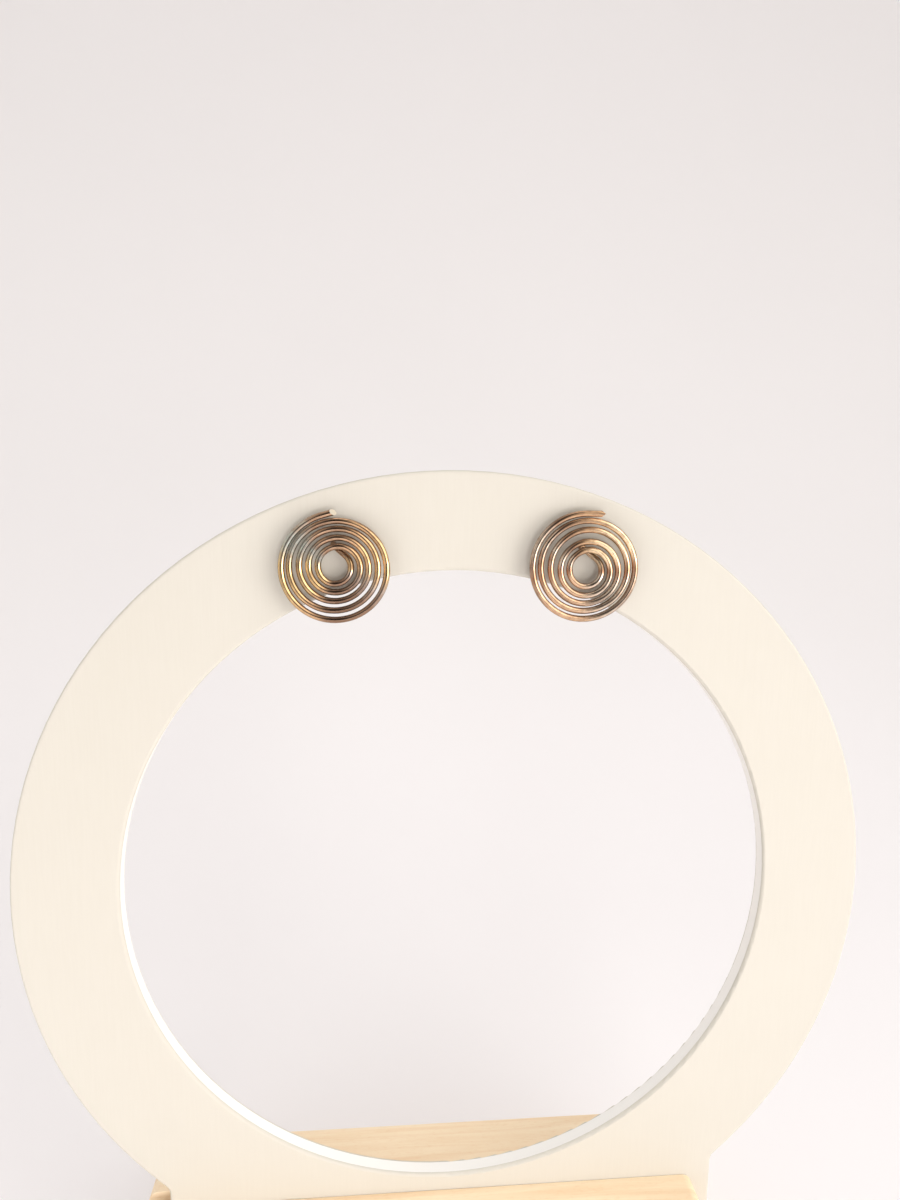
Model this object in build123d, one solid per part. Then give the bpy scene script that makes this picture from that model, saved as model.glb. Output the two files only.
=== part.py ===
from build123d import *
import math
import os

# A pair of spiral stud earrings pinned to a flat ring-shaped board that stands in a wooden base.
# Lengths are in millimetres. X runs to the right as seen from the front, Y runs away from the
# viewer and Z runs up from the surface that the base stands on. Turning angles in the board's
# plane are in degrees, clockwise from straight up as seen from the front.

# Wire of the earrings
wire_d = 0.8
turn_gap = 0.275  # free gap between neighbouring turns of an even spiral
eye_r = 1.5  # open eye in the middle of the spiral, to the wire's inner side
spiral_start = 130.0  # angle at which the flat spiral begins
quarter_turn = 90.0

# Inner end of the wire, which leaves the spiral backwards and becomes the ear post
tail_lean = 20.0  # lean of the first curve out of the spiral's plane
tail_run = 1.7  # straight stretch that passes behind the first turn
tail_bend_inside = 0.3  # inside radius of the bend into the post
post_free = 3.5  # post that stands out behind the ear nut
post_tip_round = 0.2

# Ear nuts on the posts, behind the board
nut_flange_d = 4.8
nut_flange_t = 0.9
nut_body_d = 3.2
nut_body_l = 2.1
nut_round = 0.3

# Ring-shaped display board
board_t = 2.5
hole_r = 43.0
band_w = 13.6
rim_drop = 1.2  # the round rim's middle lies this much below the hole's middle
board_round = 0.4
foot_w = 76.8
foot_corner_r = 1.5

# Wooden base
base_l = 77.6
base_w = 22.9
base_h = 16.0
base_left_of_board = 3.2  # the board stands this much off the base's middle
base_round = 1.5
groove_depth = 10.0
hole_above_base = 2.4  # lowest point of the ring's hole above the top of the base

# Clearances
tail_to_board = 0.05
post_in_board = 0.04
nut_on_post = 0.05
nut_to_board = 0.15
board_in_groove = 0.05
foot_to_groove_floor = 0.05

# How tightly the wire was wound, quarter by quarter from the eye outwards. Each value is a share
# of turn_gap that is added to the radius that an even spiral has in that quarter.
# Columns: lower, left, upper and right quarter of the turn
left_winding = (
    (-0.4, -0.1, 0.0, -0.3),
    (0.1, -0.3, -0.1, -0.3),
    (0.1, -0.4, 0.2, -0.3),
    (0.6, -0.7, 0.6, -0.4),
    (0.3, -0.8, 0.4),
)
right_winding = (
    (-0.1, -0.1, 0.0, 0.0),
    (0.1, -0.1, 0.1, -0.4),
    (0.4, 0.5, 0.6, 0.0),
    (1.1, 0.1, 0.8, 0.0),
    (0.7, -0.2, -0.6),
)

# One row for each earring: the angle and the distance beyond the hole's edge at which the eye
# sits on the board, how far the last quarter goes, the straight end after it, and the cuts that
# end the wire. A cut is given by how far it slants outwards and how far it turns to the front:
# the left wire has one slanted cut, the right one is pinched from both sides to a chisel edge.
earrings = {
    "left": {
        "angle": -19.1,
        "beyond_hole": 3.0,
        "winding": left_winding,
        "last_arc": 34.0,
        "end_run": 1.4,
        "cuts": ((22.0, 35.0),),
    },
    "right": {
        "angle": 20.2,
        "beyond_hole": 3.1,
        "winding": right_winding,
        "last_arc": 50.0,
        "end_run": 2.2,
        "cuts": ((48.0, 0.0), (-48.0, 0.0)),
    },
}

# Sizes worked out from the ones above
wire_r = wire_d / 2
pitch = wire_d + turn_gap
tail_bend_r = wire_r + tail_bend_inside
rim_r = hole_r + band_w
hole_z = base_h + hole_above_base + hole_r
board_front = -board_t / 2
board_back = board_t / 2
nut_front = board_back + nut_to_board
post_end = nut_front + nut_flange_t + nut_body_l + post_free
backwards = Vector(0, 1, 0)


def outward(angle):
    # Unit vector in the spiral's plane that points away from the middle
    turn = math.radians(angle)
    return Vector(math.sin(turn), 0, math.cos(turn))


def clockwise(angle):
    # Unit vector along which a wire runs clockwise at this angle
    turn = math.radians(angle)
    return Vector(math.cos(turn), 0, -math.sin(turn))


def quarter_radii(winding):
    slack = [share for turn in winding for share in turn]
    even = [eye_r + wire_r + pitch * (k + 0.5) / 4 for k in range(len(slack))]
    return [radius + turn_gap * share for radius, share in zip(even, slack)]


def spiral(ear):
    # Flat spiral of tangent arcs about the eye, and the point and angle where it ends
    radii = quarter_radii(ear["winding"])
    angle = spiral_start
    point = outward(angle) * radii[0]
    edges = []
    for k, radius in enumerate(radii):
        turn = ear["last_arc"] if k == len(radii) - 1 else quarter_turn
        middle = point - outward(angle) * radius
        half_way = middle + outward(angle + turn / 2) * radius
        angle += turn
        end = middle + outward(angle) * radius
        edges.append(Edge.make_three_point_arc(point, half_way, end))
        point = end
    return edges, point, angle


def tail(ear):
    # Inner end of the wire from the bend at the post to the start of the spiral, and the bend's
    # point nearest to the post. The depth is counted back from the spiral's plane.
    radius = quarter_radii(ear["winding"])[0]
    lean = math.radians(tail_lean)
    start = outward(spiral_start) * radius
    along = clockwise(spiral_start) * -1
    inward = outward(spiral_start) * -math.cos(lean) + backwards * math.sin(lean)
    eighth = math.radians(quarter_turn / 2)
    curve_middle = start + (along * math.sin(eighth) + inward * (1 - math.cos(eighth))) * radius
    curve_end = start + (along + inward) * radius
    bend_start = curve_end + inward * tail_run
    towards_post = (backwards - inward * math.sin(lean)) * (1 / math.cos(lean))

    def bend_point(turn):
        sideways = inward * math.sin(turn) + towards_post * (1 - math.cos(turn))
        return bend_start + sideways * tail_bend_r

    bend_turn = math.pi / 2 - lean
    post_start = bend_point(bend_turn)
    edges = [
        Edge.make_three_point_arc(post_start, bend_point(bend_turn / 2), bend_start),
        Edge.make_line(bend_start, curve_end),
        Edge.make_three_point_arc(curve_end, curve_middle, start),
    ]
    return edges, post_start


def eye_middle(ear):
    # Middle of the eye, with the bend of the tail just in front of the board
    bend_end = tail(ear)[1]
    out = outward(ear["angle"]) * (hole_r + ear["beyond_hole"])
    return Vector(out.X, board_front - tail_to_board - bend_end.Y, hole_z + out.Z)


def post_axis(ear):
    # Where the post crosses the middle plane of the board
    point = eye_middle(ear) + tail(ear)[1]
    return Vector(point.X, 0, point.Z)


def along_y(radius, length, near):
    # Round bar along Y whose nearer end is at Y = near on the Y axis
    bar = Cylinder(radius, length, rotation=(-90, 0, 0))
    return Pos(0, near + length / 2, 0) * bar


def stud(ear):
    # Post, tail and spiral are one wire, whose outer end is cut at a slant
    tail_edges, post_start = tail(ear)
    spiral_edges, spiral_end, end_angle = spiral(ear)
    middle = eye_middle(ear)
    post_tip = Vector(post_start.X, post_end - middle.Y, post_start.Z)
    path = Wire([Edge.make_line(post_tip, post_start)] + tail_edges + spiral_edges)
    section = Plane(origin=post_tip, z_dir=backwards * -1) * Circle(wire_r)
    wire = sweep(section, path=path)
    tip_edge = wire.edges().sort_by(Axis.Y)[-1]
    wire = fillet(tip_edge, post_tip_round)

    # The straight end reaches past the cut by the wire's radius, so that the cut is whole
    run = clockwise(end_angle)
    end_l = ear["end_run"] + wire_r
    end = Plane(origin=spiral_end, z_dir=run) * Cylinder(
        wire_r, end_l, align=(Align.CENTER, Align.CENTER, Align.MIN)
    )
    cut_middle = spiral_end + run * ear["end_run"]
    waste_side = 8 * wire_d
    for slant, turn_to_front in ear["cuts"]:
        slant = math.radians(slant)
        turn_to_front = math.radians(turn_to_front)
        slanted = run * math.cos(slant) + outward(end_angle) * math.sin(slant)
        cut_normal = slanted * math.cos(turn_to_front) - backwards * math.sin(turn_to_front)
        end -= Plane(origin=cut_middle, z_dir=cut_normal) * Box(
            waste_side, waste_side, waste_side, align=(Align.CENTER, Align.CENTER, Align.MIN)
        )
    return Pos(middle) * (wire + end)


def ear_nut(ear):
    # Flanged bullet nut, pushed onto the post behind the board
    flange = along_y(nut_flange_d / 2, nut_flange_t, 0)
    body = along_y(nut_body_d / 2, nut_body_l, nut_flange_t)
    nut = flange + body
    rims = nut.edges().filter_by(GeomType.CIRCLE)
    outer_rims = [edge for edge in rims if edge.center().Y != nut_flange_t]
    nut = fillet(outer_rims, nut_round)
    bore_l = nut_flange_t + nut_body_l
    nut -= along_y(wire_r + nut_on_post, bore_l, 0)
    axis = post_axis(ear)
    return Pos(axis.X, nut_front, axis.Z) * nut


def stand_ring():
    # Round board with a straight-sided foot that goes down into the base
    foot_top = hole_z - rim_drop
    foot_bottom = base_h - groove_depth + foot_to_groove_floor
    rim = Pos(0, foot_top) * Circle(rim_r)
    foot = Pos(0, foot_top) * Rectangle(
        foot_w, foot_top - foot_bottom, align=(Align.CENTER, Align.MAX)
    )
    below_foot = Pos(0, foot_bottom) * Rectangle(
        2 * rim_r, rim_r, align=(Align.CENTER, Align.MAX)
    )
    outline = rim + foot - below_foot
    corners = outline.vertices().filter_by(lambda corner: corner.Y < foot_top)
    outline = fillet(corners, foot_corner_r)
    outline -= Pos(0, hole_z) * Circle(hole_r)
    board = extrude(Plane.XZ * outline, board_t / 2, both=True)
    face_edges = board.edges().filter_by(Plane.XZ)
    board = fillet(face_edges, board_round)
    for ear in earrings.values():
        axis = post_axis(ear)
        pin_hole = along_y(wire_r + post_in_board, 2 * board_t, -board_t)
        board -= Pos(axis.X, 0, axis.Z) * pin_hole
    return board


def stand_base():
    block = Pos(-base_left_of_board, 0, 0) * Box(
        base_l, base_w, base_h, align=(Align.CENTER, Align.CENTER, Align.MIN)
    )
    block = fillet(block.edges(), base_round)
    groove = Pos(-base_left_of_board, 0, base_h - groove_depth) * Box(
        2 * base_l,
        board_t + 2 * board_in_groove,
        2 * groove_depth,
        align=(Align.CENTER, Align.CENTER, Align.MIN),
    )
    return block - groove


nodes = {"stand_base": stand_base(), "stand_ring": stand_ring()}
for side, ear in earrings.items():
    nodes[side + "_spiral_stud"] = stud(ear)
    nodes[side + "_ear_nut"] = ear_nut(ear)

os.makedirs("parts", exist_ok=True)
for name, shape in nodes.items():
    solids = shape.solids()
    export_step(solids[0] if len(solids) == 1 else Compound(solids), f"parts/{name}.step")
    print(name, len(solids), "solid", round(shape.volume, 3), "mm3")
for side, ear in earrings.items():
    axis = post_axis(ear)
    print(side, "post axis", round(axis.X, 3), round(axis.Z, 3), "to Y", round(post_end, 3))
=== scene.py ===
import math

import bpy
from mathutils import Matrix, Vector


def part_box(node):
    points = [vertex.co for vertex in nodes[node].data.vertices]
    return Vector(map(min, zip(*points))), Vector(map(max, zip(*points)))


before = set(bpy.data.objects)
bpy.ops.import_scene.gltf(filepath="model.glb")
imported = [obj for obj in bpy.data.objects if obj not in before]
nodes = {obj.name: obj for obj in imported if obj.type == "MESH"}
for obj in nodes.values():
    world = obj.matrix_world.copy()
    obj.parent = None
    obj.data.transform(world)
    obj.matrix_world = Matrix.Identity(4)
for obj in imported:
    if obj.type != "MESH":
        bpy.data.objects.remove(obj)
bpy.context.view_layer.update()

# A pair of spiral wire studs pinned to a cream ring board in a light wooden base.
# X runs to the right, Y away from the viewer and Z up from the table. Everything is in metres,
# apart from the patterns in the materials, which are worked out in millimetres.

print("frame loaded, pieces:", sorted(nodes))

metre = 1000.0  # mm
noiseSpan = (0.3, 0.7)  # nearly all of a noise lies between these


# Small helpers for building materials out of nodes

def newMaterial(name):
    material = bpy.data.materials.new(name)
    material.use_nodes = True
    tree = material.node_tree
    tree.nodes.clear()
    output = tree.nodes.new("ShaderNodeOutputMaterial")
    shader = tree.nodes.new("ShaderNodeBsdfPrincipled")
    tree.links.new(shader.outputs["BSDF"], output.inputs["Surface"])
    return material, tree, shader


def feed(tree, socket, value):  # a link if the value is a socket, a constant if it isn't
    if isinstance(value, bpy.types.NodeSocket):
        tree.links.new(value, socket)
    else:
        socket.default_value = value


def maths(tree, operation, *values):
    node = tree.nodes.new("ShaderNodeMath")
    node.operation = operation
    for slot, value in enumerate(values):
        feed(tree, node.inputs[slot], value)
    return node.outputs[0]


def rescale(tree, value, span, result=(0.0, 1.0)):  # takes one span to another and stays inside it
    node = tree.nodes.new("ShaderNodeMapRange")
    feed(tree, node.inputs["Value"], value)
    for name, limit in zip(("From Min", "From Max", "To Min", "To Max"), (*span, *result)):
        node.inputs[name].default_value = limit
    return node.outputs["Result"]


def combine(tree, *parts):
    node = tree.nodes.new("ShaderNodeCombineXYZ")
    for slot, part in enumerate(parts):
        feed(tree, node.inputs[slot], part)
    return node.outputs[0]


def distance(tree, across, up):
    squares = [maths(tree, "MULTIPLY", part, part) for part in (across, up)]
    return maths(tree, "SQRT", maths(tree, "ADD", *squares))


def dotProduct(tree, first, second):
    total = 0.0
    for one, other in zip(first, second):
        total = maths(tree, "MULTIPLY_ADD", one, other, total)
    return total


def noise(tree, vector, scale, detail=2.0, roughness=0.5):
    node = tree.nodes.new("ShaderNodeTexNoise")
    feed(tree, node.inputs["Vector"], vector)
    node.inputs["Scale"].default_value = scale
    node.inputs["Detail"].default_value = detail
    node.inputs["Roughness"].default_value = roughness
    return node.outputs["Fac"]


def ramp(tree, value, stops):
    node = tree.nodes.new("ShaderNodeValToRGB")
    feed(tree, node.inputs["Fac"], value)
    bar = node.color_ramp
    while len(bar.elements) < len(stops):
        bar.elements.new(1.0)
    for element, (place, colour) in zip(bar.elements, stops):
        element.position = place
        element.color = (*colour, 1.0)
    return node.outputs["Color"]


def blendColours(tree, share, first, second):
    node = tree.nodes.new("ShaderNodeMix")
    node.data_type = "RGBA"
    for name, value in (("Factor_Float", share), ("A_Color", first), ("B_Color", second)):
        socket = next(s for s in node.inputs if s.identifier == name)
        if isinstance(value, tuple):
            value = (*value, 1.0)
        feed(tree, socket, value)
    return next(s for s in node.outputs if s.identifier == "Result_Color")


def darken(tree, pattern, under, layer):  # lays a darker tone where a pattern is high
    share = rescale(tree, pattern, layer["span"], (0.0, layer["share"]))
    return blendColours(tree, share, under, layer["tone"])


def relief(tree, shader, pattern, height):
    node = tree.nodes.new("ShaderNodeBump")
    node.inputs["Distance"].default_value = height
    tree.links.new(pattern, node.inputs["Height"])
    tree.links.new(node.outputs["Normal"], shader.inputs["Normal"])


def places(tree):  # place in the shared frame, in millimetres
    coords = tree.nodes.new("ShaderNodeTexCoord")
    split = tree.nodes.new("ShaderNodeSeparateXYZ")
    tree.links.new(coords.outputs["Object"], split.inputs[0])
    return [maths(tree, "MULTIPLY", part, metre) for part in split.outputs]


def wear(piece, material):
    piece.data.materials.clear()
    piece.data.materials.append(material)


# Ring board: matt cream paint over fine upright grain

board = {
    "paint": (0.592, 0.558, 0.500),
    "paintDeep": (0.582, 0.547, 0.488),
    "toneSpan": (0.38, 0.62),  # tones of the deep paint and of the plain one
    "edgePaint": (0.87, 0.85, 0.82),  # whiter paint on the board's edges
    "edgeSpan": (0.85, 0.80),  # mm from the board's middle plane where it is gone and full
    "grainWidth": 0.28,  # mm from streak to streak
    "grainLength": 5.0,  # mm along a streak
    "grainDetail": 3.0,
    "grainShare": 0.6,  # of the tone
    "grainHeight": 0.000008,
    "cloudScale": 0.06,  # soft clouds on a millimetre
    "cloudShare": 0.4,  # of the tone
    "roughness": (0.72, 0.84),  # of the smoothest and the roughest spots
    "specular": 0.3,
}


def boardPaint():
    material, tree, shader = newMaterial("creamPaint")
    x, y, z = places(tree)
    across = maths(tree, "DIVIDE", x, board["grainWidth"])
    upward = maths(tree, "DIVIDE", z, board["grainLength"])
    streaks = noise(tree, combine(tree, across, y, upward), 1.0, board["grainDetail"])
    clouds = noise(tree, combine(tree, x, y, z), board["cloudScale"])
    streakTone = maths(tree, "MULTIPLY", streaks, board["grainShare"])
    cloudTone = maths(tree, "MULTIPLY", clouds, board["cloudShare"])
    tone = rescale(tree, maths(tree, "ADD", streakTone, cloudTone), board["toneSpan"])
    face = blendColours(tree, tone, board["paintDeep"], board["paint"])
    edge = rescale(tree, maths(tree, "ABSOLUTE", y), board["edgeSpan"])
    feed(tree, shader.inputs["Base Color"], blendColours(tree, edge, face, board["edgePaint"]))
    feed(tree, shader.inputs["Roughness"], rescale(tree, streaks, noiseSpan, board["roughness"]))
    shader.inputs["Specular IOR Level"].default_value = board["specular"]
    relief(tree, shader, streaks, board["grainHeight"])
    return material


wear(nodes["stand_ring"], boardPaint())
print("board painted")


# Base: light close-grained wood, grain along its length

base = {
    "light": (0.95, 0.79, 0.575),
    "dark": (0.84, 0.60, 0.375),
    "grainWidth": 1.3,  # mm from band to band
    "grainLength": 26.0,  # mm along a band
    "driftScale": 0.35,  # slow waves that push the bands aside
    "drift": 6.0,  # bands by which they push
    "bandDetail": 4.0,
    "bandRoughness": 0.6,
    "bandSpan": (0.35, 0.68),
    "bandDark": (0.05, 0.7),  # share of the dark wood in light and dark bands
    "poreScale": 4.0,  # pores in a band's width
    "poreShortness": 7.0,  # times shorter than a band of the same width
    "poreSpan": (0.55, 0.75),
    "poreDark": (0.0, 0.25),  # share of the dark wood beside and in pores
    "poreDepth": 0.00002,
    "roughness": (0.55, 0.70),
}


def baseWood():
    material, tree, shader = newMaterial("lightWood")
    x, y, z = places(tree)
    along = maths(tree, "DIVIDE", x, base["grainLength"])
    across = maths(tree, "DIVIDE", y, base["grainWidth"])
    upward = maths(tree, "DIVIDE", z, base["grainWidth"])
    waves = noise(tree, combine(tree, along, y, z), base["driftScale"])
    drifted = maths(tree, "ADD", across, maths(tree, "MULTIPLY", waves, base["drift"]))
    bandPlace = combine(tree, along, drifted, upward)
    bands = noise(tree, bandPlace, 1.0, base["bandDetail"], base["bandRoughness"])
    porePlace = combine(tree, maths(tree, "MULTIPLY", along, base["poreShortness"]), across, upward)
    pores = noise(tree, porePlace, base["poreScale"])
    bandShare = rescale(tree, bands, base["bandSpan"], base["bandDark"])
    poreShare = rescale(tree, pores, base["poreSpan"], base["poreDark"])
    share = maths(tree, "ADD", bandShare, poreShare)
    feed(tree, shader.inputs["Base Color"], blendColours(tree, share, base["light"], base["dark"]))
    feed(tree, shader.inputs["Roughness"], rescale(tree, pores, noiseSpan, base["roughness"]))
    relief(tree, shader, maths(tree, "SUBTRACT", 1.0, pores), base["poreDepth"])
    return material


wear(nodes["stand_base"], baseWood())
print("base finished")


# Studs: polished wire whose tints run from gold and rose to grey-blue, partly heat tarnish and
# partly painted reflection and shade

wire = {
    "roughness": (0.07, 0.17),
    "drawAcross": 5.0,  # draw lines on a millimetre across the wire
    "drawAlong": 0.12,  # and along it
    "drawHeight": 0.000002,
    "patchLength": 3.2,  # mm of wire from one patch of tint to the next
    "patchDetail": 3.0,
    "patchWander": (-0.035, 0.035),  # shares of a turn by which patches shift the tints
    "stainScale": 1.4,  # stains on a millimetre
    "stainDetail": 3.0,
    # Darker tones, the values of their pattern between which they come in, and their strength
    "stains": {"tone": (0.36, 0.20, 0.12), "span": (0.42, 0.68), "share": 0.45},
    "streaks": {"tone": (0.14, 0.08, 0.055), "span": (0.43, 0.62), "share": 0.62},
    "gapShadeTone": (0.09, 0.05, 0.035),  # painted shade on the wire's sides, between the turns
    "gapShadeShare": 0.32,
    "gapFront": (-0.28, -0.12),  # mm behind the spiral's middle plane where it is gone and full
    "gapBack": (0.9, 0.5),  # and the same further back
    "cutMetalAndGlint": (0.95, 0.86, 0.72),  # bare metal where the wire was cut, painted pale as its glint
    "freshRoughness": 0.3,
    "freshSpan": (-0.02, -0.005),  # mm beyond a cut's plane where it is gone and full
    "freshReach": (0.6, 0.5),  # squares of the mm from a cut's point where it is gone and full
}
# Colours of heated brass wire, also used as painted reflection and shade
tarnishAndReflection = {
    "gold": (0.89, 0.62, 0.30),
    "amber": (0.86, 0.57, 0.29),
    "peach": (0.80, 0.54, 0.35),
    "paleGold": (0.97, 0.74, 0.48),
    "silver": (0.80, 0.67, 0.54),
    "copper": (0.72, 0.46, 0.27),
    "chestnut": (0.57, 0.38, 0.25),
    "rose": (0.59, 0.31, 0.18),
    "brown": (0.48, 0.31, 0.21),
    "umber": (0.34, 0.22, 0.15),
    "grey": (0.60, 0.49, 0.41),
    "blue": (0.56, 0.61, 0.56),
}
# For each stud the middle of its spiral and a point of its cut in mm, the ways that the cut's
# faces look, and its tints, clockwise from straight up, in shares of a full turn
# the tints round each spiral are partly heat tarnish and partly painted reflection and shade,
# lighter or darker by which way each part of a turn faces the room's light
studs = {
    "left": {
        "eye": (-15.052, -3.197, 104.868),
        "cutPoint": (-15.218, -3.197, 111.611),
        "cutFaces": ((0.6455, -0.5736, 0.5043),),
        "tints": (
            (0.00, "chestnut"),
            (0.07, "copper"),
            (0.14, "amber"),
            (0.26, "amber"),
            (0.34, "grey"),
            (0.39, "umber"),
            (0.52, "umber"),
            (0.57, "copper"),
            (0.64, "gold"),
            (0.76, "gold"),
            (0.84, "blue"),
            (0.92, "chestnut"),
            (1.00, "chestnut"),
        ),
    },
    "right": {
        "eye": (15.918, -3.226, 104.665),
        "cutPoint": (18.058, -3.226, 111.738),
        "cutFaces": ((0.6691, 0.0, 0.7431), (0.6691, 0.0, -0.7431)),
        "tints": (
            (0.00, "copper"),
            (0.08, "paleGold"),
            (0.18, "paleGold"),
            (0.26, "rose"),
            (0.34, "silver"),
            (0.44, "silver"),
            (0.53, "peach"),
            (0.67, "peach"),
            (0.75, "rose"),
            (0.82, "silver"),
            (0.91, "brown"),
            (1.00, "copper"),
        ),
    },
}


def freshCut(tree, point, stud):  # 1 on the faces where the wire was cut, 0 elsewhere
    offsets = [maths(tree, "SUBTRACT", *pair) for pair in zip(point, stud["cutPoint"])]
    faces = 0.0
    for normal in stud["cutFaces"]:
        beyond = dotProduct(tree, offsets, normal)
        faces = maths(tree, "MAXIMUM", rescale(tree, beyond, wire["freshSpan"]), faces)
    near = rescale(tree, dotProduct(tree, offsets, offsets), wire["freshReach"])
    return maths(tree, "MULTIPLY", faces, near)


def paintedShadeBetweenTurns(tree, y, eyeY):  # painted shade on the wire's sides between the turns: how dark it is, 0 on the wire's front and on the post
    front = rescale(tree, y, [eyeY + depth for depth in wire["gapFront"]])
    back = rescale(tree, y, [eyeY + depth for depth in wire["gapBack"]])
    return maths(tree, "MULTIPLY", maths(tree, "MULTIPLY", front, back), wire["gapShadeShare"])


def wireMetal(side):
    stud = studs[side]
    material, tree, shader = newMaterial(side + "TarnishAndReflectionWire")
    x, y, z = places(tree)
    spot = combine(tree, x, y, z)
    eyeX, eyeY, eyeZ = stud["eye"]
    right = maths(tree, "SUBTRACT", x, eyeX)
    up = maths(tree, "SUBTRACT", z, eyeZ)
    turn = maths(tree, "ARCTAN2", right, up)
    reach = distance(tree, right, up)

    # Tints go by the share of a turn round the spiral, which wanders from patch to patch. A whole
    # turn is added each time, so that no share is below 0.
    share = maths(tree, "FRACT", maths(tree, "ADD", maths(tree, "DIVIDE", turn, 2 * math.pi), 1.0))
    patches = noise(tree, spot, 1 / wire["patchLength"], wire["patchDetail"])
    wander = rescale(tree, patches, noiseSpan, wire["patchWander"])
    wandered = maths(tree, "ADD", maths(tree, "ADD", share, wander), 1.0)
    stops = [(place, tarnishAndReflection[name]) for place, name in stud["tints"]]
    # tints by the way each part of a turn faces: heat tarnish together with painted reflection and
    # shade
    tint = ramp(tree, maths(tree, "FRACT", wandered), stops)

    # Draw lines run along the wire, and stains lie anywhere
    along = maths(tree, "MULTIPLY", maths(tree, "MULTIPLY", reach, turn), wire["drawAlong"])
    through = maths(tree, "MULTIPLY", y, wire["drawAcross"])
    across = maths(tree, "MULTIPLY", reach, wire["drawAcross"])
    lines = noise(tree, combine(tree, along, through, across), 1.0)
    stain = noise(tree, spot, wire["stainScale"], wire["stainDetail"])
    stained = darken(tree, stain, tint, wire["stains"])
    streaked = darken(tree, lines, stained, wire["streaks"])
    # painted shade darkens the wire's sides where the turns face each other
    shaded = blendColours(tree, paintedShadeBetweenTurns(tree, y, eyeY), streaked, wire["gapShadeTone"])

    fresh = freshCut(tree, (x, y, z), stud)
    polish = rescale(tree, stain, noiseSpan, wire["roughness"])
    cutPolish = maths(tree, "MULTIPLY", fresh, wire["freshRoughness"])
    # the cut faces get bare metal, painted pale so it also stands in for their glint
    colour = blendColours(tree, fresh, shaded, wire["cutMetalAndGlint"])
    feed(tree, shader.inputs["Base Color"], colour)
    feed(tree, shader.inputs["Roughness"], maths(tree, "MAXIMUM", polish, cutPolish))
    shader.inputs["Metallic"].default_value = 1.0
    relief(tree, shader, lines, wire["drawHeight"])
    return material


for side in studs:
    wear(nodes[side + "_spiral_stud"], wireMetal(side))
print("studs tarnished")


# Ear nuts: plain satin metal, turned, so its fine lines run round the post

nut = {
    "metal": (0.56, 0.52, 0.47),
    "metalDull": (0.50, 0.46, 0.41),
    "dullScale": 0.9,  # dull patches on a millimetre
    "dullDetail": 3.0,
    "dullSpan": (0.4, 0.65),
    "turnedLines": 14.0,  # on a millimetre
    "turnedHeight": 0.000001,
    "roughness": (0.22, 0.30),
}


def nutMetal(side):
    material, tree, shader = newMaterial(side + "NutMetal")
    x, y, z = places(tree)
    low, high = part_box(side + "_ear_nut")
    across = maths(tree, "SUBTRACT", x, (low.x + high.x) / 2 * metre)
    up = maths(tree, "SUBTRACT", z, (low.z + high.z) / 2 * metre)
    outward = maths(tree, "MULTIPLY", distance(tree, across, up), nut["turnedLines"])
    along = maths(tree, "MULTIPLY", y, nut["turnedLines"])
    lines = noise(tree, combine(tree, outward, along, 0.0), 1.0)
    dull = noise(tree, combine(tree, x, y, z), nut["dullScale"], nut["dullDetail"])
    dullShare = rescale(tree, dull, nut["dullSpan"])
    colour = blendColours(tree, dullShare, nut["metal"], nut["metalDull"])
    feed(tree, shader.inputs["Base Color"], colour)
    feed(tree, shader.inputs["Roughness"], rescale(tree, dull, noiseSpan, nut["roughness"]))
    shader.inputs["Metallic"].default_value = 1.0
    relief(tree, shader, lines, nut["turnedHeight"])
    return material


for side in studs:
    wear(nodes[side + "_ear_nut"], nutMetal(side))
print("ear nuts finished")


# Studio: one pale sweep of paper, soft lamps, the room's light and the camera

sweep = {
    "paper": (0.86, 0.838, 0.856),
    "paperDeep": (0.845, 0.823, 0.841),
    "cloudScale": 0.006,  # soft clouds on a millimetre
    "roughness": 0.9,
    "halfWidth": 1.0,
    "front": -0.7,
    "back": 0.60,
    "rise": 1.1,
    "bend": 0.50,  # radius of the bend from the floor up to the back
    "bendSteps": 16,
}


def palePaper():
    material, tree, shader = newMaterial("palePaper")
    clouds = noise(tree, combine(tree, *places(tree)), sweep["cloudScale"])
    colour = blendColours(tree, clouds, sweep["paper"], sweep["paperDeep"])
    feed(tree, shader.inputs["Base Color"], colour)
    shader.inputs["Roughness"].default_value = sweep["roughness"]
    return material


def layPaper():
    bend = sweep["bend"]
    profile = [(sweep["front"], 0.0)]
    for step in range(sweep["bendSteps"] + 1):
        turn = math.pi / 2 * step / sweep["bendSteps"]
        profile.append((sweep["back"] - bend + bend * math.sin(turn), bend - bend * math.cos(turn)))
    profile.append((sweep["back"], sweep["rise"]))
    half = sweep["halfWidth"]
    verts = [(x, y, z) for y, z in profile for x in (-half, half)]
    faces = [(2 * k, 2 * k + 1, 2 * k + 3, 2 * k + 2) for k in range(len(profile) - 1)]
    mesh = bpy.data.meshes.new("paperSweep")
    mesh.from_pydata(verts, [], faces)
    for face in mesh.polygons:
        face.use_smooth = True
    paper = bpy.data.objects.new("paperSweep", mesh)
    bpy.context.scene.collection.objects.link(paper)
    wear(paper, palePaper())


layPaper()
print("paper laid")

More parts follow.
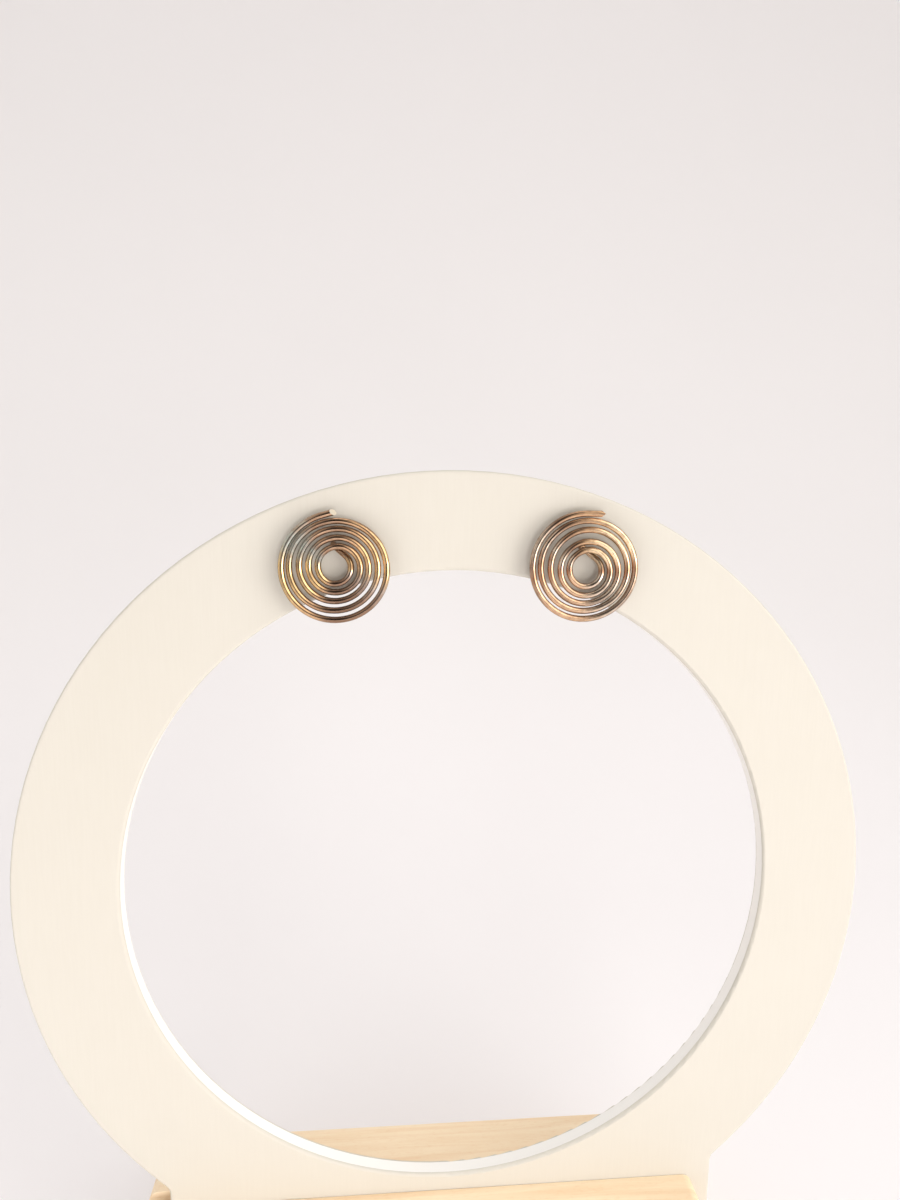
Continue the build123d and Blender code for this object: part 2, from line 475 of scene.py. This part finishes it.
lamps = {
    "lowRight": {
        "place": (0.27, -0.25, 0.065),
        "aim": (0.02, 0.0, 0.05),
        "size": (0.26, 0.12),
        "power": 0.40,
        "spread": 180.0,
        "colour": (1.0, 0.98, 0.95),
        "shines": True,  # shows in the polished wire
    },
    "lowLeft": {
        "place": (-0.14, -0.16, 0.015),
        "aim": (-0.02, 0.0, 0.012),
        "size": (0.14, 0.06),
        "power": 0.045,
        "spread": 120.0,
        "colour": (1.0, 0.98, 0.97),
        "shines": False,
    },
    "overFloor": {
        "place": (0.12, 0.12, 0.45),
        "aim": (0.05, 0.04, 0.0),
        "size": (0.40, 0.25),
        "power": 0.075,
        "spread": 80.0,
        "colour": (1.0, 0.985, 0.97),
        "shines": False,
    },
    "front": {
        "place": (0.02, -0.32, 0.07),
        "aim": (0.0, 0.0, 0.04),
        "size": (0.10, 0.10),
        "power": 0.35,
        "spread": 180.0,
        "colour": (1.0, 0.99, 0.98),
        "shines": False,
    },
}


def hangLamp(name, lamp):
    light = bpy.data.lights.new(name, "AREA")
    light.shape = "RECTANGLE"
    light.size, light.size_y = lamp["size"]
    light.energy = lamp["power"]
    light.spread = math.radians(lamp["spread"])
    light.color = lamp["colour"]
    holder = bpy.data.objects.new(name, light)
    bpy.context.scene.collection.objects.link(holder)
    holder.location = lamp["place"]
    towards = Vector(lamp["aim"]) - Vector(lamp["place"])
    holder.rotation_euler = towards.to_track_quat("-Z", "Y").to_euler()
    holder.visible_glossy = lamp["shines"]
    holder.visible_camera = False


for name, lamp in lamps.items():
    hangLamp(name, lamp)
print("lamps hung")

room = {
    "walls": (0.75, 0.735, 0.71),
    "front": (0.06, 0.053, 0.05),  # dim room in front of the stand
    "frontDepth": (0.6, 0.2),  # how far to the back it is gone and full
    "frontWidth": (0.48, 0.14),  # and how far to either side
    "ceiling": (1.8, 1.76, 1.70),
    "ceilingSpan": (0.84, 0.99),  # heights in the sky at which the ceiling is gone and full
    "window": (2.5, 2.40, 2.25),
    "windowTowards": (0.70, -0.62, 0.34),
    "windowSpan": (0.66, 0.96),  # cosines at which the window's soft rim is gone and full
    "windowSoftness": 0.3,
    "backdrop": (0.80, 0.775, 0.765),  # plain colour that is seen beyond the paper
}


def lightRoom():  # bright walls, a dim room in front and a soft window at the right
    world = bpy.data.worlds.new("room")
    bpy.context.scene.world = world
    world.use_nodes = True
    tree = world.node_tree
    tree.nodes.clear()
    output = tree.nodes.new("ShaderNodeOutputWorld")
    background = tree.nodes.new("ShaderNodeBackground")
    tree.links.new(background.outputs[0], output.inputs["Surface"])
    sky = tree.nodes.new("ShaderNodeTexCoord").outputs["Generated"]
    split = tree.nodes.new("ShaderNodeSeparateXYZ")
    tree.links.new(sky, split.inputs[0])
    x, y, z = split.outputs

    deep = rescale(tree, y, room["frontDepth"])
    wide = rescale(tree, maths(tree, "ABSOLUTE", x), room["frontWidth"])
    dim = maths(tree, "MULTIPLY", deep, wide)
    walls = blendColours(tree, dim, room["walls"], room["front"])

    overhead = rescale(tree, z, room["ceilingSpan"])
    overhead = maths(tree, "MULTIPLY", overhead, overhead)
    roofed = blendColours(tree, overhead, walls, room["ceiling"])

    facing = tree.nodes.new("ShaderNodeVectorMath")
    facing.operation = "DOT_PRODUCT"
    tree.links.new(sky, facing.inputs[0])
    facing.inputs[1].default_value = Vector(room["windowTowards"]).normalized()
    glow = rescale(tree, facing.outputs["Value"], room["windowSpan"])
    soft = maths(tree, "SMOOTH_MIN", glow, 1.0, room["windowSoftness"])
    lit = blendColours(tree, maths(tree, "MULTIPLY", soft, soft), roofed, room["window"])

    seen = tree.nodes.new("ShaderNodeLightPath").outputs["Is Camera Ray"]
    feed(tree, background.inputs["Color"], blendColours(tree, seen, lit, room["backdrop"]))


lightRoom()
print("room lit")

view = {
    "place": (-0.00962, -0.10029, 0.11604),
    "right": (0.9962, -0.0863, 0.0134),
    "up": (0.0, 0.1534, 0.9882),
    "lens": 24.0,  # mm
    "sensor": 36.0,  # mm along the picture's longer side
    "nearest": 0.005,
    "farthest": 20.0,
}


def placeCamera():
    optics = bpy.data.cameras.new("camera")
    optics.sensor_fit = "AUTO"
    optics.sensor_width = view["sensor"]
    optics.lens = view["lens"]
    optics.clip_start = view["nearest"]
    optics.clip_end = view["farthest"]
    camera = bpy.data.objects.new("camera", optics)
    bpy.context.scene.collection.objects.link(camera)
    right = Vector(view["right"]).normalized()
    up = Vector(view["up"])
    up = (up - right * up.dot(right)).normalized()
    back = right.cross(up)
    turned = Matrix((right, up, back)).transposed().to_4x4()
    camera.matrix_world = Matrix.Translation(view["place"]) @ turned
    bpy.context.scene.camera = camera


placeCamera()
bpy.context.scene.view_settings.view_transform = "Standard"
bpy.context.scene.view_settings.look = "None"
print("camera placed")
